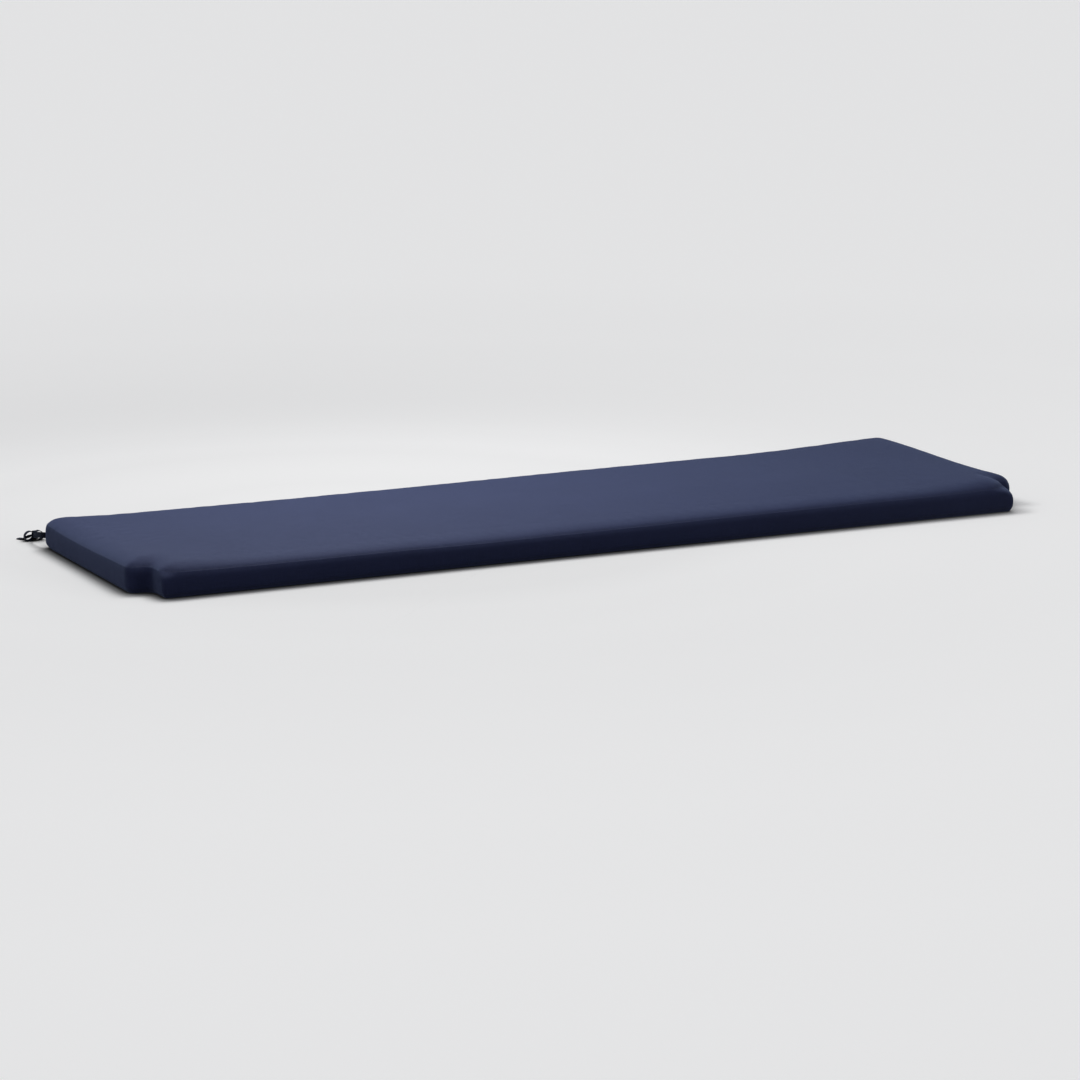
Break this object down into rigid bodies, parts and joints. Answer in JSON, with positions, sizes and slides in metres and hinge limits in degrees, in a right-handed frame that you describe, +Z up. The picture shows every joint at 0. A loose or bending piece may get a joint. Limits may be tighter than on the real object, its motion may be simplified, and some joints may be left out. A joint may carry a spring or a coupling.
{
  "type": "bench cushion",
  "caption": "Long thin box cushion with notched front corners and bow-tied tapes at the back corners.",
  "frame": {"origin": "on the surface that the cushion rests on, under the middle of its length and depth", "axes": "+X along the cushion's length, +Y towards the back edge with the tapes, +Z up through its thickness"},
  "size_m": [1.5338, 0.5243, 0.056],
  "materials": {
    "cover": "matt plain-woven navy canvas",
    "tape": "matt woven tape, nearly black navy"
  },
  "bodies": {
    "root": {"cushion": "cover", "tie_left_outer": "tape", "tie_left_inner": "tape", "bow_left": "tape", "tie_right_outer": "tape", "tie_right_inner": "tape", "bow_right": "tape"}
  },
  "joints": []
}
